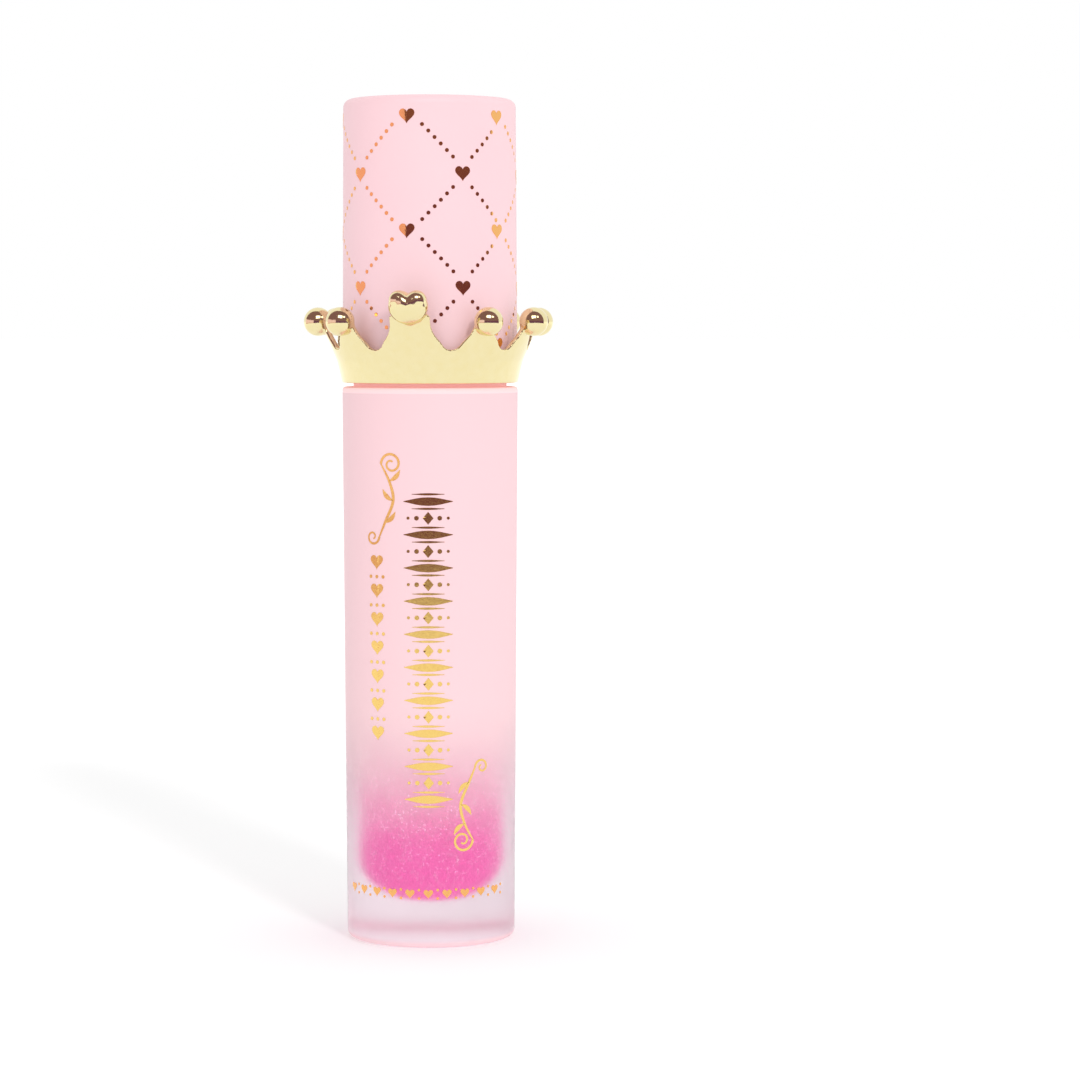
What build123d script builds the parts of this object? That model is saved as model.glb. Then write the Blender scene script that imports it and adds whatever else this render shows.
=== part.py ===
from build123d import *
import math
import os

# Lip gloss tube: a thick-walled bottle with a wiper in its neck, and a screw cap that carries
# a crown collar, a stem and a flocked applicator. Millimetres, +Z up. The origin is the centre
# of the face that the bottle stands on. The crown's heart faces -Y.

# Bottle
SHOULDER_R = 10.5
BODY_HEIGHT = 66.1
BOTTLE_DRAFT = 0.43
BASE_ROUND = 0.8
SHOULDER_ROUND = 0.4
FLOOR_THICKNESS = 4.8
BORE_R = 5.8
BORE_ROUND = 4.6
BORE_TO_NECK = 1.4
STEP_WIDTH = 1.35
STEP_RING_HEIGHT = 2.0
STEP_RING_ROUND = 0.2
NECK_R = 6.4
NECK_HEIGHT = 12.0
NECK_WALL = 1.6

# Screw thread, the same pitch on the neck and in the cap
THREAD_PITCH = 2.6
THREAD_DEPTH = 0.6
THREAD_ROOT_WIDTH = 1.5
THREAD_CREST_WIDTH = 0.7
THREAD_BITE = 0.15
NECK_THREAD_TURNS = 1.75
CAP_THREAD_TURNS = 1.5
THREAD_CLEARANCE = 0.05
NECK_THREAD_START = 2.6
CAP_THREAD_START = 3.4

# Wiper
WIPER_WALL = 0.6
WIPER_DEPTH = 9.5
WIPER_CONE = 4.0
WIPER_LIP = 0.6
WIPER_FLANGE = 0.8
WIPER_FLANGE_INSET = 0.5
WIPER_GAP = 0.05

# Gloss
FILL_LEVEL = 64.0
FILL_GAP = 0.02

# Seal
SEAL_THICKNESS = 1.2
SEAL_INSET = 0.2
SEAL_GAP = 0.05

# Cap
CAP_GAP = 0.46
CAP_HEIGHT = 33.64
CAP_SHY = 0.07
CAP_DRAFT = 0.17
CAP_WALL = 1.23
CAP_TOP_WALL = 1.4
CAP_TOP_ROUND = 1.0
SKIRT_GAP = 0.12
SKIRT_WALL = 0.55
SKIRT_HEADROOM = 0.6
CAP_THREAD_RELIEF = 0.65
INNER_PLATE = 1.6
BOSS_HEIGHT = 9.0
BOSS_WALL = 1.3

# Crown
CROWN_PROUD = 0.1
CROWN_SEAT_HEIGHT = 2.5
CROWN_FLARE = [(1.5, 0.33), (2.7, 0.63), (3.8, 1.10), (5.1, 1.65), (6.2, 2.10), (9.5, 3.50)]
CROWN_WALL = 0.75
VALLEY_HEIGHT = 4.0
VALLEY_OUTLINE = [(0.27, 0.22), (0.43, 0.75), (0.70, 1.60), (0.90, 2.60), (0.98, 3.60)]
HEART_VALLEY_HALF_WIDTH = 2.85
BALL_VALLEY_HALF_WIDTH = 3.05
HEART_VALLEY_ANGLE = 22.9
BALL_ANGLES = [41.3, 77.0, 111.3, 145.7, 180.0]
BALL_R = 1.72
BALL_REACH = 2.82
BALL_HEIGHT = 7.28
BALL_POINT_HEIGHT = 7.9
HEART_POINT_R = 2.3
HEART_POINT_HEIGHT = 7.2
HEART_HEIGHT = 8.9
HEART_REACH = 3.1
# The balls that make one half of the heart: distance to the side, rise, how far out, radius
HEART_BALLS = [(1.05, 0.80, 0.35, 1.20), (0.55, -0.10, -0.60, 1.60), (0.0, -0.85, -0.70, 1.20)]

# Stem and applicator
STEM_R = 2.875
STEM_LENGTH = 65.4
STEM_WALL = 0.975
SOCKET_DEPTH = 5.0
APPLICATOR_LENGTH = 17.7
FLOCK_THICKNESS = 0.4
APPLICATOR_GAP = 0.05
# Sections of the applicator: share of its length from the stem, how much wider and thicker
# than the stem it is on each side, and how far the section's centre is set to one side.
PADDLE = [
    (0.00, -0.15, -0.15, 0.00),
    (0.07, -0.15, -0.20, -0.22),
    (0.16, -0.15, -0.27, -0.55),
    (0.27, 0.05, -0.32, -0.70),
    (0.40, 0.30, -0.38, -0.80),
    (0.55, 0.52, -0.42, -0.70),
    (0.66, 0.62, -0.52, -0.50),
    (0.76, 0.62, -0.67, -0.27),
    (0.85, 0.35, -0.92, -0.10),
    (0.92, -0.22, -1.27, 0.05),
    (0.97, -1.12, -1.77, 0.15),
]
PADDLE_TIP_SIDE = 0.2

# How near an edge has to be to the place that it is looked for at
EDGE_TOLERANCE = 0.01

# Sizes and heights that follow from the ones above
BASE_R = SHOULDER_R - BOTTLE_DRAFT
STEP_RING_R = SHOULDER_R - STEP_WIDTH
CAP_OPEN_R = SHOULDER_R - CAP_SHY
CAP_TOP_R = CAP_OPEN_R - CAP_DRAFT
CROWN_FOOT_R = CAP_OPEN_R + CROWN_PROUD
BALL_CIRCLE_R = CROWN_FOOT_R + BALL_REACH
HEART_CIRCLE_R = CROWN_FOOT_R + HEART_REACH
SOCKET_R = STEM_R - STEM_WALL
STEP_TOP = BODY_HEIGHT + STEP_RING_HEIGHT
MOUTH = STEP_TOP + NECK_HEIGHT
NECK_BORE_R = NECK_R - NECK_WALL
WIPER_TOP = MOUTH + WIPER_FLANGE
SEAL_BOTTOM = WIPER_TOP + SEAL_GAP
SEAL_TOP = SEAL_BOTTOM + SEAL_THICKNESS
CAP_BOTTOM = BODY_HEIGHT + CAP_GAP
CAP_TOP = CAP_BOTTOM + CAP_HEIGHT
PLATE_BOTTOM = SEAL_TOP + SEAL_GAP
PLATE_TOP = PLATE_BOTTOM + INNER_PLATE
BOSS_TOP = PLATE_TOP + BOSS_HEIGHT
SHELL_BOTTOM = CAP_BOTTOM + CROWN_SEAT_HEIGHT
SHELL_BORE_R = CAP_OPEN_R - CAP_WALL
SKIRT_BORE_R = STEP_RING_R + SKIRT_GAP
SKIRT_R = SKIRT_BORE_R + SKIRT_WALL
SKIRT_TOP = STEP_TOP + SKIRT_HEADROOM
NECK_CREST_R = NECK_R + THREAD_DEPTH
CAP_CREST_R = NECK_CREST_R + THREAD_CLEARANCE
CAP_ROOT_R = CAP_CREST_R + CAP_THREAD_RELIEF
STEM_BOTTOM = BOSS_TOP - STEM_LENGTH
SOCKET_TOP = STEM_BOTTOM + SOCKET_DEPTH


def turned(points):
    """Turns an outline of radius and height points about the Z axis."""
    outline = Polyline([(r, z) for r, z in points], close=True)
    return revolve(Plane.XZ * make_face(outline), Axis.Z)


def tube(outer_r, inner_r, bottom, top):
    ring = Circle(outer_r) - Circle(inner_r)
    return Pos(0, 0, bottom) * extrude(ring, top - bottom)


def rod(radius, bottom, top):
    return Pos(0, 0, bottom) * extrude(Circle(radius), top - bottom)


def rim(solid, radius, height):
    """The round edge of a solid at a radius and a height."""
    circles = solid.edges().filter_by(GeomType.CIRCLE)
    return circles.filter_by(
        lambda edge: math.isclose(edge.radius, radius, abs_tol=EDGE_TOLERANCE)
        and math.isclose(edge.center().Z, height, abs_tol=EDGE_TOLERANCE)
    )


def thread_ridge(root_r, start, turns, outward):
    """A helical ridge of trapezoid section, sunk into its wall by THREAD_BITE."""
    side = 1 if outward else -1
    path = Helix(pitch=THREAD_PITCH, height=THREAD_PITCH * turns, radius=root_r)
    root = THREAD_ROOT_WIDTH / 2
    crest = THREAD_CREST_WIDTH / 2
    section = Polyline(
        [
            (-side * THREAD_BITE, -root),
            (side * THREAD_DEPTH, -crest),
            (side * THREAD_DEPTH, crest),
            (-side * THREAD_BITE, root),
        ],
        close=True,
    )
    start_plane = Plane(origin=path @ 0, x_dir=(1, 0, 0), z_dir=path % 0)
    ridge = sweep(start_plane * make_face(section), path=path, is_frenet=True)
    return Pos(0, 0, start) * ridge


def bottle_body():
    outside = turned(
        [
            (0, 0),
            (BASE_R, 0),
            (SHOULDER_R, BODY_HEIGHT),
            (STEP_RING_R, BODY_HEIGHT),
            (STEP_RING_R, STEP_TOP),
            (NECK_R, STEP_TOP),
            (NECK_R, MOUTH),
            (0, MOUTH),
        ]
    )
    outside = fillet(rim(outside, BASE_R, 0), BASE_ROUND)
    outside = fillet(rim(outside, SHOULDER_R, BODY_HEIGHT), SHOULDER_ROUND)
    outside = fillet(rim(outside, STEP_RING_R, STEP_TOP), STEP_RING_ROUND)
    return outside


def bottle_bore(gap, top):
    """The space inside the bottle up to a height, smaller all round by a gap."""
    bore_top = min(top, STEP_TOP - BORE_TO_NECK)
    well = rod(BORE_R - gap, FLOOR_THICKNESS + gap, bore_top)
    return fillet(rim(well, BORE_R - gap, FLOOR_THICKNESS + gap), BORE_ROUND - gap)


def bottle():
    bore_top = STEP_TOP - BORE_TO_NECK
    shoulder = Pos(0, 0, bore_top + BORE_TO_NECK / 2) * Cone(BORE_R, NECK_BORE_R, BORE_TO_NECK)
    body = bottle_body() - bottle_bore(0, bore_top) - shoulder - rod(NECK_BORE_R, STEP_TOP, MOUTH)
    ridge = thread_ridge(NECK_R, STEP_TOP + NECK_THREAD_START, NECK_THREAD_TURNS, True)
    return body + ridge


def wiper():
    """A thin cup pressed into the neck, with a flange on the mouth and a lip round the stem."""
    plug_bottom = MOUTH - WIPER_DEPTH
    cone_top = plug_bottom + WIPER_CONE
    inner_r = NECK_BORE_R - WIPER_WALL
    lip_r = STEM_R + WIPER_GAP
    return turned(
        [
            (lip_r, plug_bottom),
            (lip_r + WIPER_WALL, plug_bottom),
            (NECK_BORE_R, cone_top),
            (NECK_BORE_R, MOUTH),
            (NECK_R - WIPER_FLANGE_INSET, MOUTH),
            (NECK_R - WIPER_FLANGE_INSET, WIPER_TOP),
            (inner_r, WIPER_TOP),
            (inner_r, cone_top),
            (lip_r, plug_bottom + WIPER_LIP),
        ]
    )


def paddle(offset):
    """The applicator's curved outline, smaller or larger all round by an offset."""
    sections = []
    for share, wider, thicker, side in PADDLE:
        height = STEM_BOTTOM - share * APPLICATOR_LENGTH
        place = Plane(origin=(side, 0, height), x_dir=(1, 0, 0), z_dir=(0, 0, -1))
        outline = Ellipse(STEM_R + wider + offset, STEM_R + thicker + offset)
        sections.append(place * outline)
    tip = Vertex(PADDLE_TIP_SIDE, 0, STEM_BOTTOM - APPLICATOR_LENGTH - offset)
    return Solid.make_loft([s.wire() for s in sections] + [tip])


def applicator():
    core = paddle(-FLOCK_THICKNESS)
    plug = rod(SOCKET_R, STEM_BOTTOM - FLOCK_THICKNESS, SOCKET_TOP)
    return core + plug


def flock():
    return paddle(0) - paddle(-FLOCK_THICKNESS)


def gloss_fill():
    liquid = bottle_bore(FILL_GAP, FILL_LEVEL)
    stem_space = rod(STEM_R + APPLICATOR_GAP, STEM_BOTTOM, FILL_LEVEL)
    return liquid - stem_space - paddle(APPLICATOR_GAP)


def seal_ring():
    return tube(CAP_CREST_R - SEAL_INSET, STEM_R + SEAL_GAP, SEAL_BOTTOM, SEAL_TOP)


def inner_cap():
    """The threaded inner cap: a skirt over the step ring, a threaded wall, a plate and a boss."""
    boss_bore_r = STEM_R
    wall = turned(
        [
            (SKIRT_BORE_R, CAP_BOTTOM),
            (SKIRT_R, CAP_BOTTOM),
            (SKIRT_R, SHELL_BOTTOM),
            (SHELL_BORE_R, SHELL_BOTTOM),
            (SHELL_BORE_R, PLATE_TOP),
            (boss_bore_r + BOSS_WALL, PLATE_TOP),
            (boss_bore_r + BOSS_WALL, BOSS_TOP),
            (boss_bore_r, BOSS_TOP),
            (boss_bore_r, PLATE_BOTTOM),
            (CAP_ROOT_R, PLATE_BOTTOM),
            (CAP_ROOT_R, SKIRT_TOP),
            (SKIRT_BORE_R, SKIRT_TOP),
        ]
    )
    ridge = thread_ridge(CAP_ROOT_R, SKIRT_TOP + CAP_THREAD_START, CAP_THREAD_TURNS, False)
    return wall + ridge


def cap_shell():
    """The pink outer cap, with a slight draft and a rounded top edge."""
    outside = turned(
        [
            (0, SHELL_BOTTOM),
            (CAP_OPEN_R, SHELL_BOTTOM),
            (CAP_TOP_R, CAP_TOP),
            (0, CAP_TOP),
        ]
    )
    top_rim = outside.edges().filter_by(GeomType.CIRCLE).sort_by(Axis.Z)[-1]
    outside = fillet(top_rim, CAP_TOP_ROUND)
    return outside - rod(SHELL_BORE_R, SHELL_BOTTOM, CAP_TOP - CAP_TOP_WALL)


def stem():
    """A rod held in the inner cap's boss, with a socket for the applicator's plug."""
    shaft = rod(STEM_R, STEM_BOTTOM, BOSS_TOP)
    return shaft - rod(SOCKET_R, STEM_BOTTOM, SOCKET_TOP)


def crown_band():
    outer = [(CROWN_FOOT_R, 0)] + [(CROWN_FOOT_R + grow, h) for h, grow in CROWN_FLARE]
    flare = [(max(r - CROWN_WALL, CAP_OPEN_R), h) for r, h in outer if h > CROWN_SEAT_HEIGHT]
    inner = [(SKIRT_R, 0), (SKIRT_R, CROWN_SEAT_HEIGHT), (CAP_OPEN_R, CROWN_SEAT_HEIGHT)] + flare
    return turned([(r, CAP_BOTTOM + h) for r, h in outer + inner[::-1]])


def crown_valley(angle, half_width):
    """The space between two points of the crown, as a prism that runs out from the axis."""
    right = [(half_width * share, h) for share, h in VALLEY_OUTLINE]
    left = [(-x, h) for x, h in reversed(right)]
    curve = Spline(left + [(0, 0)] + right)
    top = CROWN_FLARE[-1][0]
    sides = Polyline([right[-1], (half_width, top), (-half_width, top), left[0]])
    start = Plane(origin=(0, 0, CAP_BOTTOM + VALLEY_HEIGHT), x_dir=(1, 0, 0), z_dir=(0, -1, 0))
    prism = extrude(start * make_face(Curve() + [curve, sides]), 2 * CROWN_FOOT_R)
    return Rot(0, 0, angle) * prism


def above_the_points():
    """The space over the balls' points, which leaves the heart's own taller round point."""
    low = CAP_BOTTOM + BALL_POINT_HEIGHT
    over = rod(2 * CROWN_FOOT_R, low, CAP_BOTTOM + CROWN_FLARE[-1][0])
    centre = Pos(0, -CROWN_FOOT_R, CAP_BOTTOM + HEART_POINT_HEIGHT)
    return over - centre * Rot(90, 0, 0) * Cylinder(HEART_POINT_R, CROWN_FOOT_R)


def crown_ball(angle):
    ball = Pos(0, -BALL_CIRCLE_R, CAP_BOTTOM + BALL_HEIGHT) * Sphere(BALL_R)
    return Rot(0, 0, angle) * ball


def heart():
    """The crown's plump heart, made of balls, with its lobes further out than its tip."""
    centre = Pos(0, -HEART_CIRCLE_R, CAP_BOTTOM + HEART_HEIGHT)
    halves = [(side * x, z, out, r) for x, z, out, r in HEART_BALLS for side in (-1, 1)]
    balls = [centre * Pos(x, -out, z) * Sphere(r) for x, z, out, r in halves]
    return balls[0] + balls[1:]


def crown():
    """The plated crown collar: one moulding with a heart at the front and balls all round."""
    band = crown_band() - above_the_points()
    for side in (-1, 1):
        band -= crown_valley(side * HEART_VALLEY_ANGLE, HEART_VALLEY_HALF_WIDTH)
    for first, second in zip(BALL_ANGLES, BALL_ANGLES[1:]):
        for side in (-1, 1):
            band -= crown_valley(side * (first + second) / 2, BALL_VALLEY_HALF_WIDTH)
    angles = [side * a for a in BALL_ANGLES[:-1] for side in (-1, 1)] + [BALL_ANGLES[-1]]
    for angle in angles:
        band += crown_ball(angle)
    return band + heart()


PIECES = {
    "bottle": bottle,
    "wiper": wiper,
    "gloss_fill": gloss_fill,
    "seal_ring": seal_ring,
    "inner_cap": inner_cap,
    "cap_shell": cap_shell,
    "crown": crown,
    "stem": stem,
    "applicator": applicator,
    "flock": flock,
}

os.makedirs("parts", exist_ok=True)
for name, make in PIECES.items():
    export_step(make(), f"parts/{name}.step")
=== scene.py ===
import math

import bmesh
import bpy
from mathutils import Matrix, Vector, noise
from mathutils.bvhtree import BVHTree


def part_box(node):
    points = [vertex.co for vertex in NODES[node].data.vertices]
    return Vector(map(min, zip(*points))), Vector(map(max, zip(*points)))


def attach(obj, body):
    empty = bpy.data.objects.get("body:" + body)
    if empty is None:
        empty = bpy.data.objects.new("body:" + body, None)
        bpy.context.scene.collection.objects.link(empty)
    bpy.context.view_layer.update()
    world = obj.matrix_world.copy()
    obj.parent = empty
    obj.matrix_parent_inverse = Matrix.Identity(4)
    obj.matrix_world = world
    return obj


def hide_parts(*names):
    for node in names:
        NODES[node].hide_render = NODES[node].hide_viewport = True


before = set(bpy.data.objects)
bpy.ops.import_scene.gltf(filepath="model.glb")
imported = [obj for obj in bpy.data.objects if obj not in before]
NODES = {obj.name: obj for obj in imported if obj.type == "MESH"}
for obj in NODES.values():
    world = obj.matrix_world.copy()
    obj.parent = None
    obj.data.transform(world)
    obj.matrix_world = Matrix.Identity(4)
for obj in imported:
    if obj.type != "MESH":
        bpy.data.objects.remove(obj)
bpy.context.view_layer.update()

MM = 0.001

# The tube's own sizes, from the frame
BASE_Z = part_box("bottle")[0].z
SHELL_LOW_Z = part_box("cap_shell")[0].z
CROWN_LOW_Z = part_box("crown")[0].z
CROWN_HIGH_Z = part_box("crown")[1].z
STEM_LOW_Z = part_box("stem")[0].z
BORE_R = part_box("gloss_fill")[1].x
FILL_LOW_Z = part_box("gloss_fill")[0].z
FILL_HIGH_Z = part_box("gloss_fill")[1].z
STEM_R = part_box("stem")[1].x

# Stamped foil, drawn thicker than the real few microns so that it clears the paint
FOIL_LIFT = 0.03 * MM
FOIL_SINK = 0.03 * MM

# Points of a mesh nearer to each other than this are joined
SEAM = 0.001 * MM

# The view that the tube is seen from
VIEW_TURN = math.radians(8.7)
VIEW_DISTANCE = 396.8 * MM
VIEW_HEIGHT = 73.07 * MM
VIEW_SIDE = 13.15 * MM
VIEW_TILT = math.radians(3.66)
LENS_MM = 110.4
SENSOR_MM = 36.0


# ---------------------------------------------------------------- materials


def linear(hex_code):
    """An sRGB hex colour as linear RGBA."""
    shares = [int(hex_code[i : i + 2], 16) / 255 for i in (1, 3, 5)]
    return (*[c / 12.92 if c <= 0.04045 else ((c + 0.055) / 1.055) ** 2.4 for c in shares], 1.0)


def add(tree, kind, sockets=None, **settings):
    """Adds a node. A socket is given a value, or another node's output that feeds it."""
    made = tree.nodes.new(kind)
    for name, value in settings.items():
        setattr(made, name, value)
    for name, value in (sockets or {}).items():
        socket = made.inputs[name]
        if isinstance(value, bpy.types.NodeSocket):
            tree.links.new(value, socket)
        else:
            socket.default_value = value
    return made


def start_material(name, **sockets):
    """A material with a Principled shader, and the place on the piece in millimetres."""
    material = bpy.data.materials.new(name)
    material.use_nodes = True
    tree = material.node_tree
    shader = tree.nodes["Principled BSDF"]
    for socket, value in sockets.items():
        shader.inputs[socket.replace("_", " ")].default_value = value
    where = add(tree, "ShaderNodeTexCoord")
    in_mm = {0: where.outputs["Object"], 1: (1 / MM,) * 3}
    in_mm = add(tree, "ShaderNodeVectorMath", in_mm, operation="MULTIPLY")
    return material, tree, shader, in_mm.outputs[0]


def blend_of(tree, share, first_hex, second_hex):
    """A mix of two colours by a share that another node gives."""
    colours = {6: linear(first_hex), 7: linear(second_hex)}
    return add(tree, "ShaderNodeMix", {0: share, **colours}, data_type="RGBA").outputs[2]


def soft_touch_paint():
    """ABS sprayed with soft-touch paint: a milky pink with a wide soft shine and a fine grain.

    The grain is drawn coarser than the real one so that it shows.
    """
    grain_mm = 0.16
    cloud_mm = 9.0
    material, tree, shader, place = start_material(
        "soft_touch_paint", IOR=1.48, Coat_Weight=0.2, Coat_Roughness=0.45
    )
    cloud = add(tree, "ShaderNodeTexNoise", {"Vector": place, "Scale": 1 / cloud_mm, "Detail": 2.0})
    tint = blend_of(tree, cloud.outputs["Fac"], "#EDC5CB", "#EFCACF")
    tree.links.new(tint, shader.inputs["Base Color"])
    grain = add(tree, "ShaderNodeTexNoise", {"Vector": place, "Scale": 1 / grain_mm, "Detail": 3.0})
    relief = {"Height": grain.outputs["Fac"], "Strength": 0.15, "Distance": 0.02 * MM}
    bump = add(tree, "ShaderNodeBump", relief)
    tree.links.new(bump.outputs[0], shader.inputs["Normal"])
    shine = {"Value": grain.outputs["Fac"], "To Min": 0.46, "To Max": 0.56}
    shine = add(tree, "ShaderNodeMapRange", shine)
    tree.links.new(shine.outputs[0], shader.inputs["Roughness"])
    return material


def frosted_bottle():
    """Clear PETG, frosted outside, then sprayed pale pink from the shoulder to a fade.

    The spray thins from somewhat under half way up and is gone near the foot, where the thick
    clear wall shows the gloss. Pearl flakes in the spray are painted in the fade as pale specks,
    a painted glint. They and the mist of the spray are drawn several times their real size so
    that they show. The neck stays clear. A brighter pink band round the base's edge is a painted
    reflection, laid on like a coat of the spray. Light soaks through the painted step under the
    cap and gathers in the thick foot, which faint glows stand for. Heights and radii here are in
    millimetres.
    """
    fade_low, fade_high = 10.0, 29.0
    drift_mm, mist_mm = 4.0, 0.2
    drift_rise, mist_rise = 3.0, 2.0
    edge_shift = (drift_rise + mist_rise) / 2
    neck_low = SHELL_LOW_Z / MM - 0.9
    shoulder = CROWN_LOW_Z / MM - 1.1
    step_edge = 0.1
    step_glow = 0.25
    foot_low, foot_high = 1.8, 3.8
    foot_glow = 0.05
    edge_reflection_low, edge_reflection_high = 0.4, 1.1
    edge_reflection_cover = 0.7
    rim_inner, rim_outer = 8.8, 9.6
    flake_mm = 0.2
    flake_share, flake_reach, flake_cover = 0.13, 0.4, 0.5
    flake_low, flake_high = 5.0, 24.0
    flake_fade_in, flake_fade_out = 5.0, 8.0
    clearness = 0.95
    material, tree, shader, place = start_material("frosted_painted_bottle", IOR=1.5)
    split = add(tree, "ShaderNodeSeparateXYZ", {0: place})
    height = split.outputs["Z"]

    drift = {"Vector": place, "Scale": 1 / drift_mm, "Detail": 2.0}
    drift = add(tree, "ShaderNodeTexNoise", drift)
    mist = {"Vector": place, "Scale": 1 / mist_mm, "Detail": 3.0}
    mist = add(tree, "ShaderNodeTexNoise", mist)
    wander = {0: drift.outputs["Fac"], 1: drift_rise, 2: height}
    wander = add(tree, "ShaderNodeMath", wander, operation="MULTIPLY_ADD")
    edge = {0: mist.outputs["Fac"], 1: mist_rise, 2: wander.outputs[0]}
    edge = add(tree, "ShaderNodeMath", edge, operation="MULTIPLY_ADD")
    fade = {"From Min": fade_low + edge_shift, "From Max": fade_high + edge_shift}
    fade = {"Value": edge.outputs[0], **fade}
    fade = add(tree, "ShaderNodeMapRange", fade, interpolation_type="SMOOTHSTEP")
    below = add(tree, "ShaderNodeMath", {0: height, 1: neck_low}, operation="LESS_THAN")
    spray = {0: fade.outputs[0], 1: below.outputs[0]}
    spray = add(tree, "ShaderNodeMath", spray, operation="MULTIPLY")

    # A brighter pink band painted round the base's edge: a painted reflection, laid on like the
    # spray.
    ring = {"From Min": edge_reflection_low, "From Max": edge_reflection_high, "To Min": edge_reflection_cover, "To Max": 0.0}
    ring = add(tree, "ShaderNodeMapRange", {"Value": height, **ring}, interpolation_type="SMOOTHSTEP")
    flat = add(tree, "ShaderNodeVectorMath", {0: place, 1: (1, 1, 0)}, operation="MULTIPLY")
    off_axis = add(tree, "ShaderNodeVectorMath", {0: flat.outputs[0]}, operation="LENGTH")
    rim = {"Value": off_axis.outputs["Value"], "From Min": rim_inner, "From Max": rim_outer}
    rim = add(tree, "ShaderNodeMapRange", rim)
    ring = {0: ring.outputs[0], 1: rim.outputs[0]}
    ring = add(tree, "ShaderNodeMath", ring, operation="MULTIPLY")
    cover = {0: spray.outputs[0], 1: ring.outputs[0]}
    cover = add(tree, "ShaderNodeMath", cover, operation="MAXIMUM")

    flakes = add(tree, "ShaderNodeTexVoronoi", {"Vector": place, "Scale": 1 / flake_mm})
    pick = add(tree, "ShaderNodeSeparateColor", {0: flakes.outputs["Color"]})
    chosen = {0: pick.outputs[0], 1: 1 - flake_share}
    chosen = add(tree, "ShaderNodeMath", chosen, operation="GREATER_THAN")
    small = {0: flakes.outputs["Distance"], 1: flake_reach}
    small = add(tree, "ShaderNodeMath", small, operation="LESS_THAN")
    rise = {"Value": height, "From Min": flake_low, "From Max": flake_low + flake_fade_in}
    rise = add(tree, "ShaderNodeMapRange", rise)
    fall = {"Value": height, "From Min": flake_high, "From Max": flake_high - flake_fade_out}
    fall = add(tree, "ShaderNodeMapRange", fall)
    flake = chosen.outputs[0]
    for other in (small, rise, fall):
        both = {0: flake, 1: other.outputs[0]}
        flake = add(tree, "ShaderNodeMath", both, operation="MULTIPLY").outputs[0]

    # The base-edge band's brighter pink is that painted reflection.
    paint = blend_of(tree, ring.outputs[0], "#EDC8CD", "#FFC8CE")
    clear = {0: cover.outputs[0], 6: linear("#F1E4EB"), 7: paint}
    clear = add(tree, "ShaderNodeMix", clear, data_type="RGBA")
    # The flakes' pale colour is a painted glint, lighter than the paint where real flakes would catch
    # the light.
    painted_glint = {0: flake, 6: clear.outputs[2], 7: linear("#FFD8EC")}
    painted_glint = add(tree, "ShaderNodeMix", painted_glint, data_type="RGBA")
    tree.links.new(painted_glint.outputs[2], shader.inputs["Base Color"])

    step = {"Value": height, "From Min": shoulder - step_edge, "From Max": shoulder + step_edge}
    step = add(tree, "ShaderNodeMapRange", step)
    warm = {0: step.outputs[0], 1: below.outputs[0]}
    warm = add(tree, "ShaderNodeMath", warm, operation="MULTIPLY").outputs[0]
    foot = {"From Min": foot_low, "From Max": foot_high, "To Min": foot_glow, "To Max": 0.0}
    foot = add(tree, "ShaderNodeMapRange", {"Value": height, **foot}, interpolation_type="SMOOTHSTEP")
    glow = {0: warm, 1: step_glow, 2: foot.outputs[0]}
    glow = add(tree, "ShaderNodeMath", glow, operation="MULTIPLY_ADD")
    tree.links.new(glow.outputs[0], shader.inputs["Emission Strength"])
    tree.links.new(blend_of(tree, warm, "#F4FFF9", "#FFA48C"), shader.inputs["Emission Color"])

    hidden = {0: flake, 1: flake_cover, 2: cover.outputs[0]}
    hidden = add(tree, "ShaderNodeMath", hidden, operation="MULTIPLY_ADD")
    see = {"Value": hidden.outputs[0], "To Min": clearness, "To Max": 0.0}
    see = add(tree, "ShaderNodeMapRange", see)
    tree.links.new(see.outputs[0], shader.inputs["Transmission Weight"])

    relief = {"Height": mist.outputs["Fac"], "Strength": 0.1, "Distance": 0.02 * MM}
    bump = add(tree, "ShaderNodeBump", relief)
    tree.links.new(bump.outputs[0], shader.inputs["Normal"])
    shine = {"Value": cover.outputs[0], "To Min": 0.3, "To Max": 0.5}
    shine = add(tree, "ShaderNodeMapRange", shine)
    tree.links.new(shine.outputs[0], shader.inputs["Roughness"])
    return material


def glitter_gloss():
    """Lip gloss: a thick pink gel full of fine pearl flakes, painted as pale specks: a painted glint.

    The flakes are drawn several times their real size so that they show. Light scatters through
    the gel from all sides, which a faint glow stands for.
    """
    flake_mm = 0.3
    flake_share, flake_reach = 0.12, 0.42
    cloud_mm = 2.5
    glow = 0.22
    material, tree, shader, place = start_material(
        "glitter_gloss", Roughness=0.3, IOR=1.46, Emission_Strength=glow
    )
    shader.inputs["Emission Color"].default_value = linear("#FF4CB4")
    flakes = add(tree, "ShaderNodeTexVoronoi", {"Vector": place, "Scale": 1 / flake_mm})
    pick = add(tree, "ShaderNodeSeparateColor", {0: flakes.outputs["Color"]})
    chosen = {0: pick.outputs[0], 1: 1 - flake_share}
    chosen = add(tree, "ShaderNodeMath", chosen, operation="GREATER_THAN")
    small = {0: flakes.outputs["Distance"], 1: flake_reach}
    small = add(tree, "ShaderNodeMath", small, operation="LESS_THAN")
    flake = {0: chosen.outputs[0], 1: small.outputs[0]}
    flake = add(tree, "ShaderNodeMath", flake, operation="MULTIPLY")
    cloud = add(tree, "ShaderNodeTexNoise", {"Vector": place, "Scale": 1 / cloud_mm, "Detail": 4.0})
    gel = blend_of(tree, cloud.outputs["Fac"], "#FF4AB8", "#FF64C2")
    # The flakes' pale colour is a painted glint, standing for the light that they catch.
    tint = {0: flake.outputs[0], 6: gel, 7: linear("#FFC9E6")}
    tint = add(tree, "ShaderNodeMix", tint, data_type="RGBA")
    tree.links.new(tint.outputs[2], shader.inputs["Base Color"])
    return material


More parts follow.
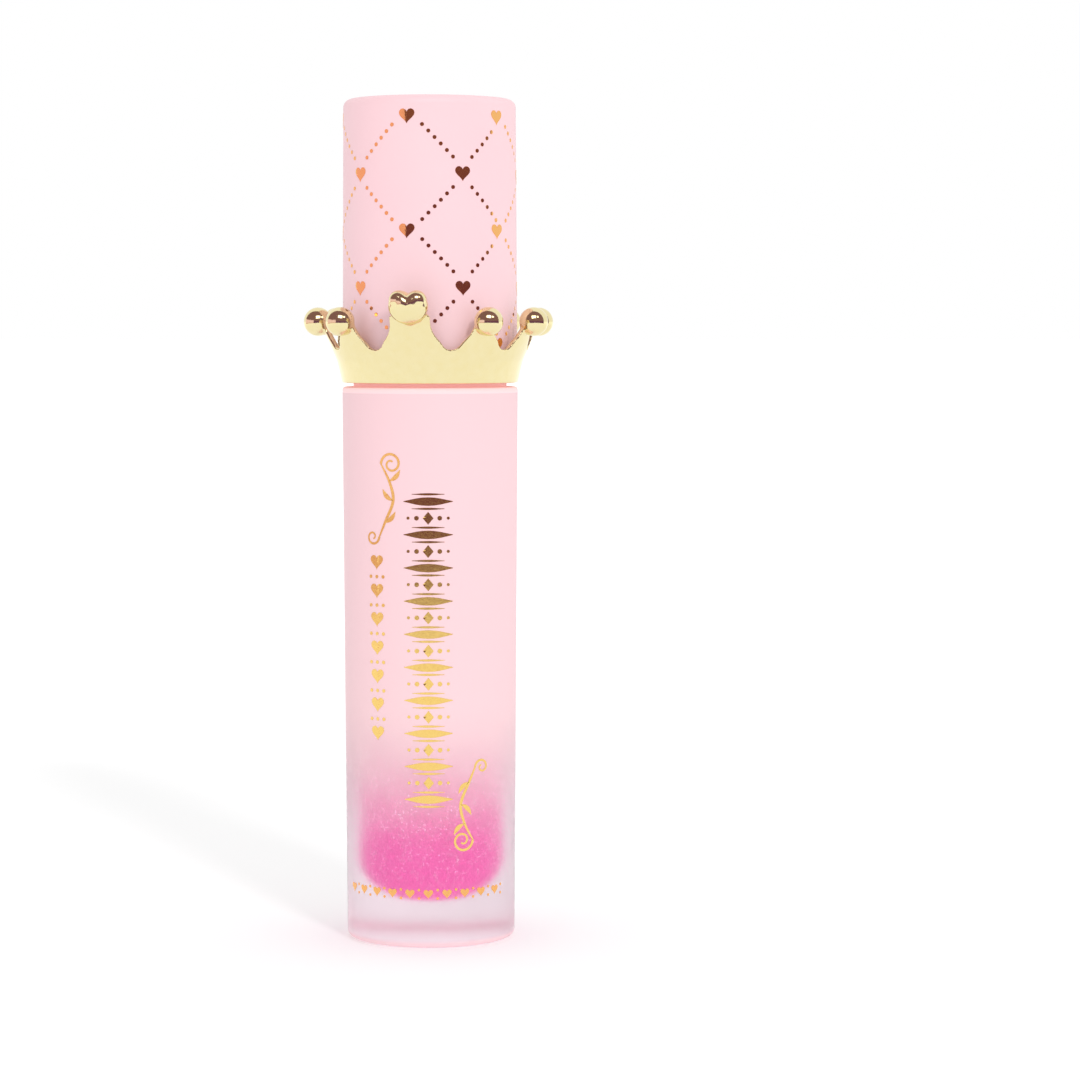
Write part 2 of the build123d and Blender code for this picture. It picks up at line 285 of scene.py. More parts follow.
def plated_gold():
    """ABS with bright vacuum plating under a pale gold lacquer: a mirror with a faint haze."""
    haze_mm = 0.9
    material, tree, shader, place = start_material("plated_gold", Metallic=1.0)
    haze = add(tree, "ShaderNodeTexNoise", {"Vector": place, "Scale": 1 / haze_mm, "Detail": 6.0})
    tint = blend_of(tree, haze.outputs["Fac"], "#ECDDA4", "#F1E5B8")
    tree.links.new(tint, shader.inputs["Base Color"])
    shine = {"Value": haze.outputs["Fac"], "To Min": 0.07, "To Max": 0.15}
    shine = add(tree, "ShaderNodeMapRange", shine)
    tree.links.new(shine.outputs[0], shader.inputs["Roughness"])
    return material


def stamped_foil(name, hex_code, worn_hex):
    """Hot-stamped metal foil: a thin bright film that takes a slight orange peel from the paint."""
    peel_mm = 0.35
    material, tree, shader, place = start_material(name, Metallic=1.0)
    peel = add(tree, "ShaderNodeTexNoise", {"Vector": place, "Scale": 1 / peel_mm, "Detail": 3.0})
    tint = blend_of(tree, peel.outputs["Fac"], hex_code, worn_hex)
    tree.links.new(tint, shader.inputs["Base Color"])
    relief = {"Height": peel.outputs["Fac"], "Strength": 0.2, "Distance": 0.01 * MM}
    bump = add(tree, "ShaderNodeBump", relief)
    tree.links.new(bump.outputs[0], shader.inputs["Normal"])
    shine = {"Value": peel.outputs["Fac"], "To Min": 0.08, "To Max": 0.16}
    shine = add(tree, "ShaderNodeMapRange", shine)
    tree.links.new(shine.outputs[0], shader.inputs["Roughness"])
    return material


def moulded_plastic(name, hex_code, other_hex):
    """Moulded polypropylene or polyethylene: waxy, slightly see-through, with a satin skin.

    The skin's texture is drawn coarser than the real one so that it shows. The function gives
    back its node tree, place and tint too, for a plastic that goes on from there.
    """
    skin_mm = 0.25
    cloud_mm = 2.5
    material, tree, shader, place = start_material(
        name, IOR=1.49, Subsurface_Weight=0.25, Subsurface_Scale=0.6 * MM
    )
    cloud = add(tree, "ShaderNodeTexNoise", {"Vector": place, "Scale": 1 / cloud_mm, "Detail": 2.0})
    tint = blend_of(tree, cloud.outputs["Fac"], hex_code, other_hex)
    tree.links.new(tint, shader.inputs["Base Color"])
    skin = add(tree, "ShaderNodeTexNoise", {"Vector": place, "Scale": 1 / skin_mm, "Detail": 2.0})
    relief = {"Height": skin.outputs["Fac"], "Strength": 0.12, "Distance": 0.01 * MM}
    bump = add(tree, "ShaderNodeBump", relief)
    tree.links.new(bump.outputs[0], shader.inputs["Normal"])
    shine = {"Value": skin.outputs["Fac"], "To Min": 0.35, "To Max": 0.45}
    shine = add(tree, "ShaderNodeMapRange", shine)
    tree.links.new(shine.outputs[0], shader.inputs["Roughness"])
    return material, tree, shader, place, tint


def frosted_stem():
    """Frosted polypropylene rod, milky white, stained pink by the gloss next to the applicator."""
    stain_low = STEM_LOW_Z / MM + 5.0
    stain_high = stain_low + 6.5
    stain_depth = 0.9
    smears_per_mm, smear_rise = 0.6, 2.5
    material, tree, shader, place, tint = moulded_plastic("frosted_stem", "#D6D5D8", "#D0CFD3")
    split = add(tree, "ShaderNodeSeparateXYZ", {0: place})
    smear = add(tree, "ShaderNodeTexNoise", {"Vector": place, "Scale": smears_per_mm, "Detail": 3.0})
    edge = {0: smear.outputs["Fac"], 1: smear_rise, 2: split.outputs["Z"]}
    edge = add(tree, "ShaderNodeMath", edge, operation="MULTIPLY_ADD")
    stain = {"From Min": stain_low, "From Max": stain_high, "To Min": stain_depth, "To Max": 0.0}
    stain = {"Value": edge.outputs[0], **stain}
    stain = add(tree, "ShaderNodeMapRange", stain, interpolation_type="SMOOTHSTEP")
    stained = {0: stain.outputs[0], 6: tint, 7: linear("#E0A2CC")}
    stained = add(tree, "ShaderNodeMix", stained, data_type="RGBA")
    tree.links.new(stained.outputs[2], shader.inputs["Base Color"])
    return material


def nylon_flock():
    """Nylon flock glued to the applicator and soaked in gloss: a dense pink velvet.

    It is drawn in tufts, because single fibres are too fine to show.
    """
    tuft_mm = 0.2
    material, tree, shader, place = start_material(
        "nylon_flock", Roughness=0.75, IOR=1.5, Sheen_Weight=0.5, Sheen_Roughness=0.4
    )
    shader.inputs["Sheen Tint"].default_value = linear("#FFB8E2")
    pile = add(tree, "ShaderNodeTexNoise", {"Vector": place, "Scale": 1 / tuft_mm, "Detail": 4.0})
    tint = blend_of(tree, pile.outputs["Fac"], "#F244B0", "#FF80CE")
    tree.links.new(tint, shader.inputs["Base Color"])
    relief = {"Height": pile.outputs["Fac"], "Strength": 0.6, "Distance": 0.06 * MM}
    bump = add(tree, "ShaderNodeBump", relief)
    tree.links.new(bump.outputs[0], shader.inputs["Normal"])
    return material


def give(piece, material):
    """Puts one material on every face of a piece."""
    piece.data.materials.clear()
    piece.data.materials.append(material)


# ---------------------------------------------------------------- stamped foil


def surface_of(node):
    """A function that gives the point of a round node's surface at an angle and a height.

    The angle is 0 at -Y and grows towards +X. Lift is how far the point stands off the surface.
    """
    mesh = NODES[node].data
    skin = BVHTree.FromPolygons([v.co for v in mesh.vertices], [p.vertices for p in mesh.polygons])
    well_outside = 50 * MM

    def point(angle, height, lift):
        outward = Vector((math.sin(angle), -math.cos(angle), 0))
        start = outward * well_outside + Vector((0, 0, height))
        return skin.ray_cast(start, -outward)[0] + outward * lift

    return point


def heart_outline(width, height, count=28):
    """A heart with its point down, centred on its box: the well-known heart curve, 32 by 29."""
    points = []
    for i in range(count):
        t = math.tau * i / count
        x = 16 * math.sin(t) ** 3
        y = 13 * math.cos(t) - 5 * math.cos(2 * t) - 2 * math.cos(3 * t) - math.cos(4 * t)
        points.append((x / 32 * width, (y + 2.5) / 29 * height))
    return points


def round_outline(diameter, count=14):
    """A round dot."""
    radius = diameter / 2
    turns = [math.tau * i / count for i in range(count)]
    return [(radius * math.cos(turn), radius * math.sin(turn)) for turn in turns]


def lozenge_outline(width, height, steps=4):
    """A lozenge, with points along its sides so that it follows a round surface."""
    corners = [(width / 2, 0), (0, height / 2), (-width / 2, 0), (0, -height / 2)]
    points = []
    for (x0, y0), (x1, y1) in zip(corners, corners[1:] + corners[:1]):
        points += [(x0 + (x1 - x0) * k / steps, y0 + (y1 - y0) * k / steps) for k in range(steps)]
    return points


def disc_faces(outline, rings):
    """Flat points and faces that fill a star-shaped outline round its centre."""
    points = [(0.0, 0.0)]
    count = len(outline)
    for ring in range(1, rings + 1):
        points += [(x * ring / rings, y * ring / rings) for x, y in outline]
    faces = [(0, 1 + i, 1 + (i + 1) % count) for i in range(count)]
    for ring in range(1, rings):
        low = 1 + (ring - 1) * count
        high = low + count
        for i in range(count):
            j = (i + 1) % count
            faces.append((low + i, high + i, high + j, low + j))
    return points, faces


def ribbon_faces(line, widths):
    """Flat points and faces of a stroke along a line, with a width at each of its points."""
    points = []
    for i, (x, y) in enumerate(line):
        ahead = line[min(i + 1, len(line) - 1)]
        behind = line[max(i - 1, 0)]
        along = Vector((ahead[0] - behind[0], ahead[1] - behind[1])).normalized()
        side = Vector((-along.y, along.x)) * widths[i] / 2
        points += [(x - side.x, y - side.y), (x, y), (x + side.x, y + side.y)]
    faces = []
    for i in range(len(line) - 1):
        for k in range(2):
            a = 3 * i + k
            faces.append((a, a + 3, a + 4, a + 1))
    return points, faces


class Foil:
    """Collects stamped shapes on one node's surface and joins them in one piece."""

    def __init__(self, node, radius):
        self.point = surface_of(node)
        self.radius = radius
        self.mesh = bmesh.new()

    def stamp(self, shape, angle, height):
        """Adds a flat shape, in metres, as a thin closed film centred at an angle and height."""
        points, faces = shape
        tops, lows = [], []
        for x, y in points:
            turn = angle + x / self.radius
            tops.append(self.mesh.verts.new(self.point(turn, height + y, FOIL_LIFT)))
            lows.append(self.mesh.verts.new(self.point(turn, height + y, -FOIL_SINK)))
        edges = {}
        for face in faces:
            self.mesh.faces.new([tops[i] for i in face])
            self.mesh.faces.new([lows[i] for i in reversed(face)])
            for a, b in zip(face, face[1:] + face[:1]):
                edges[a, b] = True
        for a, b in edges:
            if (b, a) not in edges:
                self.mesh.faces.new([tops[b], tops[a], lows[a], lows[b]])

    def finish(self, name, material, body):
        """Joins the stamped shapes in one piece that rides on a body."""
        bmesh.ops.recalc_face_normals(self.mesh, faces=self.mesh.faces)
        data = bpy.data.meshes.new(name)
        self.mesh.to_mesh(data)
        self.mesh.free()
        piece = bpy.data.objects.new(name, data)
        bpy.context.scene.collection.objects.link(piece)
        give(piece, material)
        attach(piece, body)


def cap_foil(material):
    """The lattice on the cap: columns of small hearts joined by slanting rows of dots.

    The printed film wraps round and meets itself in a seam, where the step is shorter.
    """
    radius = 10.37 * MM
    first_column = math.radians(60.2)
    step = math.radians(36.92)
    columns = 10
    top_row = 97.66 * MM
    row_step = 6.65 * MM
    rows = 5
    heart = disc_faces(heart_outline(1.9 * MM, 1.75 * MM), 4)
    dot = disc_faces(round_outline(0.47 * MM), 1)
    node_rise = 0.2 * MM
    heart_room = 1.15 * MM
    dots = 6
    gap_even = (1.84 * MM, 1.16 * MM)
    gap_odd = (1.2 * MM, 1.76 * MM)
    foil = Foil("cap_shell", radius)
    hearts = []
    for column in range(columns):
        for row in range(column % 2, rows, 2):
            hearts.append((first_column + column * step, top_row - row * row_step))
    for angle, height in hearts:
        foil.stamp(heart, angle, height)
    lowest = SHELL_LOW_Z + 0.6 * MM

    def room_from(angle, height, heart_angle, heart_height):
        across = math.remainder(angle - heart_angle, math.tau) * radius
        return math.hypot(across, height - heart_height)

    for column in range(columns):
        near, far = (gap_odd, gap_even) if column % 2 else (gap_even, gap_odd)
        for row in range(column % 2, rows, 2):
            for fall in (-1, 1):
                if not 0 <= row + fall <= rows:
                    continue
                for k in range(dots):
                    share = k / (dots - 1)
                    x = near[0] + (step * radius - near[0] - far[0]) * share
                    y = near[1] + (row_step - near[1] - far[1]) * share
                    turn = first_column + column * step + x / radius
                    height = top_row - row * row_step + node_rise - fall * y
                    clear = all(room_from(turn, height, *place) > heart_room for place in hearts)
                    if clear and height > lowest:
                        foil.stamp(dot, turn, height)
    foil.finish("cap_foil", material, "cap")


def leaf(x, y, length, width, turn, bend=0.0, steps=8):
    """A leaf, pointed at both ends, from a foot at x and y. Turn is from upright, clockwise."""
    tip_width = 0.06 * MM
    line, widths = [], []
    for k in range(steps + 1):
        share = k / steps
        side = bend * length * math.sin(math.pi * share)
        along = length * share
        across = along * math.sin(turn) + side * math.cos(turn)
        up = along * math.cos(turn) - side * math.sin(turn)
        line.append((x + across, y + up))
        widths.append(max(tip_width, width * math.sin(math.pi * share)))
    return ribbon_faces(line, widths)


def curl(x, y, radius, start, turns, width, hand=1, steps=36):
    """A scroll that winds inwards from a foot at x and y, and thins as it goes."""
    wound_in, thinned = 0.78, 0.35
    line, widths = [], []
    centre = (x - radius * math.cos(start), y - radius * math.sin(start))
    for k in range(steps + 1):
        share = k / steps
        angle = start + hand * math.tau * turns * share
        reach = radius * (1 - wound_in * share)
        line.append((centre[0] + reach * math.cos(angle), centre[1] + reach * math.sin(angle)))
        widths.append(width * (1 - thinned * share))
    return ribbon_faces(line, widths)


def smooth_between(a, b, c, d, t):
    """A place between b and c on a smooth curve through a, b, c and d (Catmull-Rom)."""
    straight = 2 * b + (c - a) * t
    square = (2 * a - 5 * b + 4 * c - d) * t**2
    cube = (3 * b - a - 3 * c + d) * t**3
    return 0.5 * (straight + square + cube)


def bent_stroke(line, width, steps=10):
    """A smooth stroke through a few points, thin at both ends."""
    end_share = 0.45
    path, widths = [], []
    points = [line[0]] + line + [line[-1]]
    for around in zip(points, points[1:], points[2:], points[3:]):
        for k in range(steps):
            path.append(tuple(smooth_between(*ways, k / steps) for ways in zip(*around)))
    path.append(line[-1])
    for k in range(len(path)):
        share = k / (len(path) - 1)
        widths.append(width * (end_share + (1 - end_share) * math.sin(math.pi * share)))
    return ribbon_faces(path, widths)


def wide_band(foil, angle, low, high):
    """An upright band of pointed bars with lozenges and beads between them."""
    cells = 10
    across = math.pi / 2
    bar_length, hair_length = 5.8 * MM, 3.8 * MM
    hair_rise = 0.85 * MM
    bead_out, small_bead_out = 1.35 * MM, 2.35 * MM
    bar = leaf(-bar_length / 2, 0, bar_length, 1.0 * MM, across)
    hair = leaf(-hair_length / 2, 0, hair_length, 0.26 * MM, across)
    lozenge = disc_faces(lozenge_outline(1.25 * MM, 1.5 * MM), 2)
    bead = disc_faces(round_outline(0.55 * MM), 1)
    small_bead = disc_faces(round_outline(0.36 * MM), 1)
    cell = (high - low) / cells
    for k in range(cells):
        height = low + cell * (k + 0.5)
        foil.stamp(bar, angle, height)
        for side in (-1, 1):
            foil.stamp(hair, angle, height + side * hair_rise)
        if k == cells - 1:
            continue
        between = height + cell / 2
        foil.stamp(lozenge, angle, between)
        for side in (-1, 1):
            foil.stamp(bead, angle + side * bead_out / foil.radius, between)
            foil.stamp(small_bead, angle + side * small_bead_out / foil.radius, between)


def thin_band(foil, angle, low, high):
    """An upright row of hearts, with three beads across between each two."""
    hearts = 7
    bead_out = 0.9 * MM
    heart = disc_faces(heart_outline(1.8 * MM, 1.7 * MM), 3)
    bead = disc_faces(round_outline(0.42 * MM), 1)
    pitch = (high - low) / (hearts - 1)
    for k in range(hearts):
        foil.stamp(heart, angle, low + pitch * k)
        if k == hearts - 1:
            continue
        for side in (-1, 0, 1):
            foil.stamp(bead, angle + side * bead_out / foil.radius, low + pitch * (k + 0.5))


def scroll(foil, angle, foot, hand):
    """A leafy scroll that runs up from its foot, or down from it when hand is -1."""
    stalk = [(-1.3, 0.0), (-0.5, 1.7), (0.6, 4.3), (0.1, 6.6), (-1.0, 8.6)]
    stalk = [(x * MM * hand, y * MM * hand) for x, y in stalk]
    stalk_width = 0.36 * MM
    top_radius, top_turns, top_width = 1.35 * MM, 1.35, 0.32 * MM
    foot_radius, foot_turns, foot_width = 0.95 * MM, 1.2, 0.28 * MM
    leaf_length, leaf_width, leaf_turn, leaf_bend = 1.9 * MM, 0.55 * MM, 0.8, 0.12
    start = 0.0 if hand < 0 else math.pi
    foil.stamp(bent_stroke(stalk, stalk_width), angle, foot)
    top = curl(*stalk[-1], top_radius, start, top_turns, top_width, -1)
    foil.stamp(top, angle, foot)
    low = curl(*stalk[0], foot_radius, start + math.pi, foot_turns, foot_width, -1)
    foil.stamp(low, angle, foot)
    for (x, y), side in zip(stalk[1:4], (1, -1, 1)):
        turn = side * leaf_turn + (0 if hand > 0 else math.pi)
        foil.stamp(leaf(x, y, leaf_length, leaf_width, turn, side * leaf_bend), angle, foot)


def bottle_foil(material):
    """The label: two upright bands of ornament and a scroll at the end of each."""
    mean_radius = 10.3 * MM
    foil = Foil("bottle", mean_radius)
    wide_band(foil, math.radians(9.1), 15.8 * MM, 54.8 * MM)
    thin_band(foil, math.radians(-27.0), 25.4 * MM, 45.6 * MM)
    scroll(foil, math.radians(-17.5), 48.6 * MM, 1)
    scroll(foil, math.radians(34.0), 21.4 * MM, -1)
    foil.finish("label_foil", material, "bottle")


def foot_foil(material):
    """A line of small hearts, with a bead over and under each gap, round the bottle's foot."""
    height = 6.5 * MM
    bead_rise = 0.5 * MM
    foot_radius = 10.1 * MM
    hearts_left, hearts_right = 5, 4
    foil = Foil("bottle", foot_radius)
    heart = disc_faces(heart_outline(1.15 * MM, 1.1 * MM, 20), 2)
    bead = disc_faces(round_outline(0.34 * MM, 10), 1)
    step = math.radians(12.5)
    for k in range(-hearts_left, hearts_right + 1):
        angle = VIEW_TURN + step * k
        foil.stamp(heart, angle, height)
        for side in (-1, 1):
            foil.stamp(bead, angle + step / 2, height + side * bead_rise)
    foil.finish("foot_foil", material, "bottle")


# ---------------------------------------------------------------- pieces


def turned(mesh, profile, turn):
    """A profile of radius and height points, set at a turn round the tube's axis from -Y."""
    return [mesh.verts.new((r * math.sin(turn), -r * math.cos(turn), z)) for r, z in profile]


def lathe(name, profile, steps=96):
    """A closed solid turned from a closed outline of radius and height points."""
    mesh = bmesh.new()
    rings = [turned(mesh, profile, math.tau * i / steps) for i in range(steps)]
    count = len(profile)
    for i in range(steps):
        here, there = rings[i], rings[(i + 1) % steps]
        for k in range(count):
            m = (k + 1) % count
            mesh.faces.new([here[k], there[k], there[m], here[m]])
    bmesh.ops.remove_doubles(mesh, verts=mesh.verts, dist=SEAM)
    bmesh.ops.recalc_face_normals(mesh, faces=mesh.faces)
    data = bpy.data.meshes.new(name)
    mesh.to_mesh(data)
    mesh.free()
    data.shade_smooth()
    piece = bpy.data.objects.new(name, data)
    bpy.context.scene.collection.objects.link(piece)
    return piece


def gloss_piece(material):
    """The gloss wets the bottle's wall, so it reaches a hair into it and no air shows between.

    A hollow down its middle leaves room for the wand and, wider, for the paddle.
    """
    wet = 0.06 * MM
    radius = BORE_R + wet
    low = FILL_LOW_Z - wet
    corner = 4.6 * MM + wet
    wand = STEM_R + wet
    paddle = 4.45 * MM
    paddle_high = STEM_LOW_Z - 1.5 * MM
    paddle_low = STEM_LOW_Z - 17.9 * MM
    axis = 1e-6 * MM
    steps = 14
    turns = [math.pi / 2 * k / steps for k in range(steps + 1)]
    across = [radius - corner + corner * math.sin(turn) for turn in turns]
    up = [low + corner - corner * math.cos(turn) for turn in turns]
    profile = [(axis, low), *zip(across, up), (radius, FILL_HIGH_Z), (wand, FILL_HIGH_Z)]
    profile += [(wand, STEM_LOW_Z), (paddle, paddle_high), (paddle, paddle_low), (axis, paddle_low)]
    piece = lathe("gloss", profile)
    give(piece, material)
    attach(piece, "bottle")
    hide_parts("gloss_fill")


def copy_of(node, name):
    """A free copy of a CAD node's mesh with its seams closed."""
    data = NODES[node].data.copy()
    data.name = name
    mesh = bmesh.new()
    mesh.from_mesh(data)
    bmesh.ops.remove_doubles(mesh, verts=mesh.verts, dist=SEAM)
    mesh.to_mesh(data)
    mesh.free()
    piece = bpy.data.objects.new(name, data)
    bpy.context.scene.collection.objects.link(piece)
    return piece


def apply_modifiers(piece):
    """Turns what a piece's modifiers make into its own mesh."""
    graph = bpy.context.evaluated_depsgraph_get()
    made = bpy.data.meshes.new_from_object(piece.evaluated_get(graph))
    piece.modifiers.clear()
    piece.data = made


def plump_heart(mesh):
    """Adds the crown's heart: a puffed form with a creased valley, whose top leans out.

    The valley is a share of the height, and its spread an angle in radians. Fullness above 2
    makes the face flatter and the edge steeper than an ellipse.
    """
    half_width, half_height = 2.35 * MM, 2.13 * MM
    front, back = 1.55 * MM, 1.2 * MM
    valley, valley_spread = 0.34, 0.28
    fullness = 2.4
    lean = math.radians(18)
    centre_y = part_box("crown")[0].y + front
    centre_z = CROWN_HIGH_Z - 1.85 * MM
    around, rings = 72, 12
    outline = []
    for i in range(around):
        turn = math.tau * i / around
        off_top = abs(math.remainder(turn, math.tau))
        reach = 1 - valley * math.exp(-off_top / valley_spread)
        outline.append((half_width * reach * math.sin(turn), half_height * reach * math.cos(turn)))

    def place(x, z, out):
        over = out * math.cos(lean) + z * math.sin(lean)
        rise = z * math.cos(lean) - out * math.sin(lean)
        return mesh.verts.new((x, centre_y - over, centre_z + rise))

    rows = []
    for k in range(-rings + 1, rings):
        share = math.cos(math.pi / 2 * k / rings)
        depth = (1 - share**fullness) ** (1 / fullness) * (front if k > 0 else -back)
        rows.append([place(x * share, z * share, depth) for x, z in outline])
    for here, there in zip(rows, rows[1:]):
        for i in range(around):
            j = (i + 1) % around
            mesh.faces.new([here[i], here[j], there[j], there[i]])
    for row, depth in ((rows[0], -back), (rows[-1], front)):
        middle = place(0, 0, depth)
        for i in range(around):
            mesh.faces.new([row[i], row[(i + 1) % around], middle])
    bmesh.ops.recalc_face_normals(mesh, faces=mesh.faces)


def soften(piece, voxel, rounds):
    """Remeshes a piece evenly and rounds off its edges."""
    remesh = piece.modifiers.new("remesh", "REMESH")
    remesh.mode = "VOXEL"
    remesh.voxel_size = voxel
    smooth = piece.modifiers.new("smooth", "SMOOTH")
    smooth.factor = 0.5
    smooth.iterations = rounds
    apply_modifiers(piece)


def crown_piece(material):
    """The crown's edges and joints are softened, as in a polished and plated moulding."""
    piece = copy_of("crown", "plated_crown")
    shape = bmesh.new()
    shape.from_mesh(piece.data)
    plump_heart(shape)
    shape.to_mesh(piece.data)
    shape.free()
    soften(piece, 0.12 * MM, 14)
    piece.data.shade_smooth()
    give(piece, material)
    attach(piece, "cap")
    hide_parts("crown")


def flock_piece(material):
    """The applicator's coat, remeshed finely and roughened so that its pile shows in outline."""
    tuft = 0.28 * MM
    pile_height = 0.07 * MM
    piece = copy_of("flock", "flock_pile")
    soften(piece, 0.11 * MM, 3)
    mesh = piece.data
    shifts = []
    for vertex in mesh.vertices:
        spot = vertex.co / tuft
        wave = noise.noise(spot) + 0.5 * noise.noise(spot * 2)
        shifts.append(vertex.co + vertex.normal * wave * pile_height)
    for vertex, place in zip(mesh.vertices, shifts):
        vertex.co = place
    mesh.shade_smooth()
    give(piece, material)
    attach(piece, "cap")
    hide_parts("flock")


# ---------------------------------------------------------------- studio


def flat_card(name, centre, size, facing, material):
    """A flat stage card that faces a point."""
    data = bpy.data.meshes.new(name)
    w, h = size[0] / 2, size[1] / 2
    data.from_pydata([(-w, -h, 0), (w, -h, 0), (w, h, 0), (-w, h, 0)], [], [(0, 1, 2, 3)])
    card = bpy.data.objects.new(name, data)
    bpy.context.scene.collection.objects.link(card)
    card.location = centre
    card.rotation_euler = (Vector(facing) - Vector(centre)).to_track_quat("Z", "Y").to_euler()
    give(card, material)
    return card


def glossy_only(card):
    """The card is seen in reflections and nowhere else."""
    card.visible_camera = False
    card.visible_diffuse = False
    card.visible_transmission = False
    card.visible_shadow = False
    card.visible_volume_scatter = False


def glowing(name, hex_code, strength=1.0):
    """A stage surface that gives off an even light."""
    material = bpy.data.materials.new(name)
    material.use_nodes = True
    tree = material.node_tree
    tree.nodes.clear()
    glow = add(tree, "ShaderNodeEmission", {"Color": linear(hex_code), "Strength": strength})
    end = add(tree, "ShaderNodeOutputMaterial")
    tree.links.new(glow.outputs[0], end.inputs["Surface"])
    return material


def room_shell(name, profile, first, last, material, steps=40):
    """A stage surface turned through part of a circle round the tube, seen only in reflections."""
    mesh = bmesh.new()
    rows = []
    for k in range(steps + 1):
        turn = VIEW_TURN + math.radians(first + (last - first) * k / steps)
        rows.append(turned(mesh, profile, turn))
    for here, there in zip(rows, rows[1:]):
        for k in range(len(profile) - 1):
            mesh.faces.new([here[k], there[k], there[k + 1], here[k + 1]])
    data = bpy.data.meshes.new(name)
    mesh.to_mesh(data)
    mesh.free()
    shell = bpy.data.objects.new(name, data)
    bpy.context.scene.collection.objects.link(shell)
    give(shell, material)
    glossy_only(shell)


def floor():
    """A white table. It glows a little more far away, so that it runs on into the white wall.

    Under the clear foot a glow is painted, a painted pool of the light that the foot lets through.
    """
    foot_r = 9.8 * MM
    painted_foot_light = 0.45
    near, far = 0.15, 0.6
    near_glow, far_glow = 0.2, 0.35
    air_gap = 0.1 * MM
    table_size = (40, 40)
    material = bpy.data.materials.new("table_paint")
    material.use_nodes = True
    tree = material.node_tree
    shader = tree.nodes["Principled BSDF"]
    shader.inputs["Base Color"].default_value = linear("#E2E2E2")
    shader.inputs["Specular IOR Level"].default_value = 0.0
    shader.inputs["Emission Color"].default_value = (1, 1, 1, 1)
    where = add(tree, "ShaderNodeTexCoord")
    away = add(tree, "ShaderNodeVectorMath", {0: where.outputs["Object"]}, operation="LENGTH")
    away = away.outputs["Value"]
    glow = {"From Min": near, "From Max": far, "To Min": near_glow, "To Max": far_glow}
    glow = add(tree, "ShaderNodeMapRange", {"Value": away, **glow})
    # A painted pool of light under the clear foot.
    under = {"From Min": foot_r - MM, "From Max": foot_r, "To Min": painted_foot_light, "To Max": 0.0}
    under = add(tree, "ShaderNodeMapRange", {"Value": away, **under})
    glow = add(tree, "ShaderNodeMath", {0: glow.outputs[0], 1: under.outputs[0]}, operation="ADD")
    tree.links.new(glow.outputs[0], shader.inputs["Emission Strength"])
    table = flat_card("floor", (0, 0, BASE_Z - air_gap), table_size, (0, 0, 1), material)
    table.rotation_euler = (0, 0, 0)


def mirrored_room():
    """What the gold mirrors: a dim room, darker low down, and a pink card and rose table at left.

    The turns and rises are in degrees, and the room's shell stands just clear of the table.
    """
    table_edge = 0.42
    wall = 0.8
    table = [(table_edge, MM), (wall, 2 * MM)]
    left, middle, right = -112, -32, 88

    def wall_arc(lowest, highest, steps=14):
        rises = [math.radians(lowest + (highest - lowest) * k / steps) for k in range(steps + 1)]
        return [(wall * math.cos(rise), wall * math.sin(rise)) for rise in rises]

    dim = glowing("dim_room", "#86666E")
    room_shell("dark_room", table + wall_arc(4, 10), middle, right, glowing("dark_room", "#70486A"))
    room_shell("dim_room", wall_arc(10, 90), middle, right, dim)
    room_shell("dim_room_left", wall_arc(16, 90), left, middle, dim)
    room_shell("rose_table", table, left, middle, glowing("rose_table", "#E0B0BC"))
    room_shell("pink_card", wall_arc(1, 16), left, middle, glowing("pink_card", "#FFDCF6"))


def direction(azimuth, elevation):
    """A unit vector, by degrees of turn to the right of the view and degrees of rise."""
    turn, rise = VIEW_TURN + math.radians(azimuth), math.radians(elevation)
    return Vector((math.sin(turn) * math.cos(rise), -math.cos(turn) * math.cos(rise), math.sin(rise)))


def light_boxes():
    """Two light boxes that show in reflections as the highlights on the crown."""
    reach = 0.6
    strength = 3.0
    aim = Vector((0, 0, CROWN_HIGH_Z))
    lamps = (("front_box", 3, 38, (0.34, 0.22)), ("side_box", 40, 35, (0.12, 0.12)))
    for name, azimuth, elevation, size in lamps:
        centre = aim + direction(azimuth, elevation) * reach
        glossy_only(flat_card(name, centre, size, aim, glowing(name, "#FFFFFF", strength)))


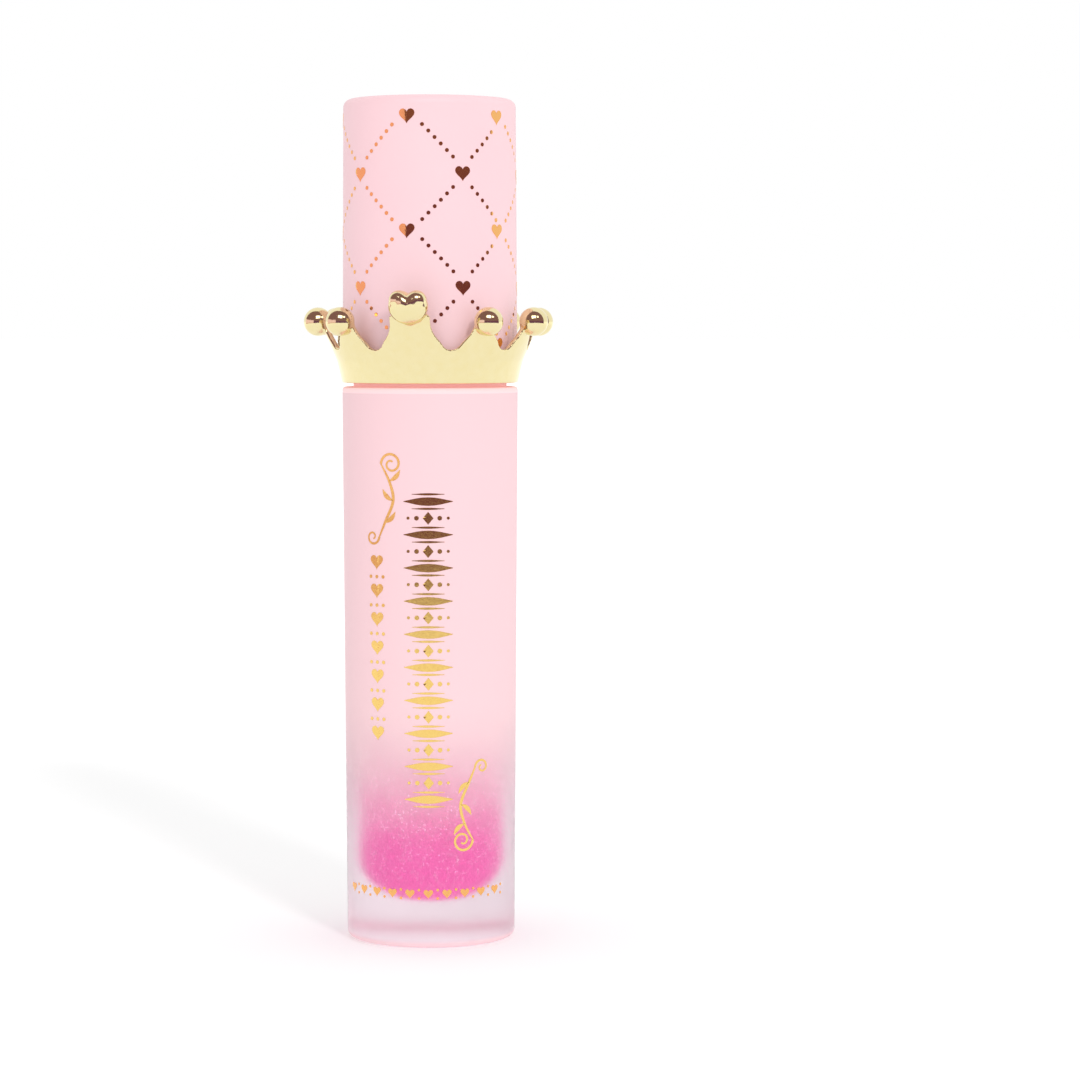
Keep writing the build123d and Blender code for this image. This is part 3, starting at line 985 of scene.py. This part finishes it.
def key_light():
    """A wide soft sun from the right and above, for the faint shadow on the table."""
    data = bpy.data.lights.new("key", "SUN")
    data.energy = 0.85
    data.angle = math.radians(8)
    sun = bpy.data.objects.new("key", data)
    bpy.context.scene.collection.objects.link(sun)
    sun.rotation_euler = direction(23, 29).to_track_quat("Z", "Y").to_euler()
    sun.visible_glossy = False


def studio():
    """A white studio with a white table."""
    floor()
    mirrored_room()
    light_boxes()
    key_light()
    world = bpy.data.worlds.new("studio_white")
    world.use_nodes = True
    world.node_tree.nodes["Background"].inputs["Color"].default_value = (1, 1, 1, 1)
    world.node_tree.nodes["Background"].inputs["Strength"].default_value = 1.0
    bpy.context.scene.world = world
    bpy.context.scene.view_settings.view_transform = "Standard"


def camera():
    """The camera, a little right of the tube's front and looking slightly down."""
    data = bpy.data.cameras.new("camera")
    data.lens = LENS_MM
    data.sensor_width = SENSOR_MM
    data.clip_start = 0.01
    seen = bpy.data.objects.new("camera", data)
    bpy.context.scene.collection.objects.link(seen)
    right = Vector((math.cos(VIEW_TURN), math.sin(VIEW_TURN), 0))
    ahead = Vector((-math.sin(VIEW_TURN), math.cos(VIEW_TURN), 0))
    seen.location = -ahead * VIEW_DISTANCE + right * VIEW_SIDE + Vector((0, 0, VIEW_HEIGHT))
    seen.rotation_euler = (math.pi / 2 - VIEW_TILT, 0, VIEW_TURN)
    bpy.context.scene.camera = seen


camera()
studio()

give(NODES["cap_shell"], soft_touch_paint())
give(NODES["bottle"], frosted_bottle())
give(NODES["stem"], frosted_stem())
plastics = {
    "inner_cap": ("moulded_inner_cap", "#E6DAD6", "#DFD0CC"),
    "wiper": ("wiper_polyethylene", "#F4F2F0", "#ECEAE8"),
    "seal_ring": ("foam_seal", "#F6F4F0", "#F0EEEA"),
    "applicator": ("applicator_core", "#F2E6EC", "#ECDDE6"),
}
for node, (name, hex_code, other_hex) in plastics.items():
    give(NODES[node], moulded_plastic(name, hex_code, other_hex)[0])
gloss_piece(glitter_gloss())
crown_piece(plated_gold())
flock_piece(nylon_flock())
rose_foil = stamped_foil("rose_gold_foil", "#F5BA72", "#F3B36C")
cap_foil(rose_foil)
foot_foil(rose_foil)
bottle_foil(stamped_foil("label_gold_foil", "#F5D27E", "#F2CA72"))
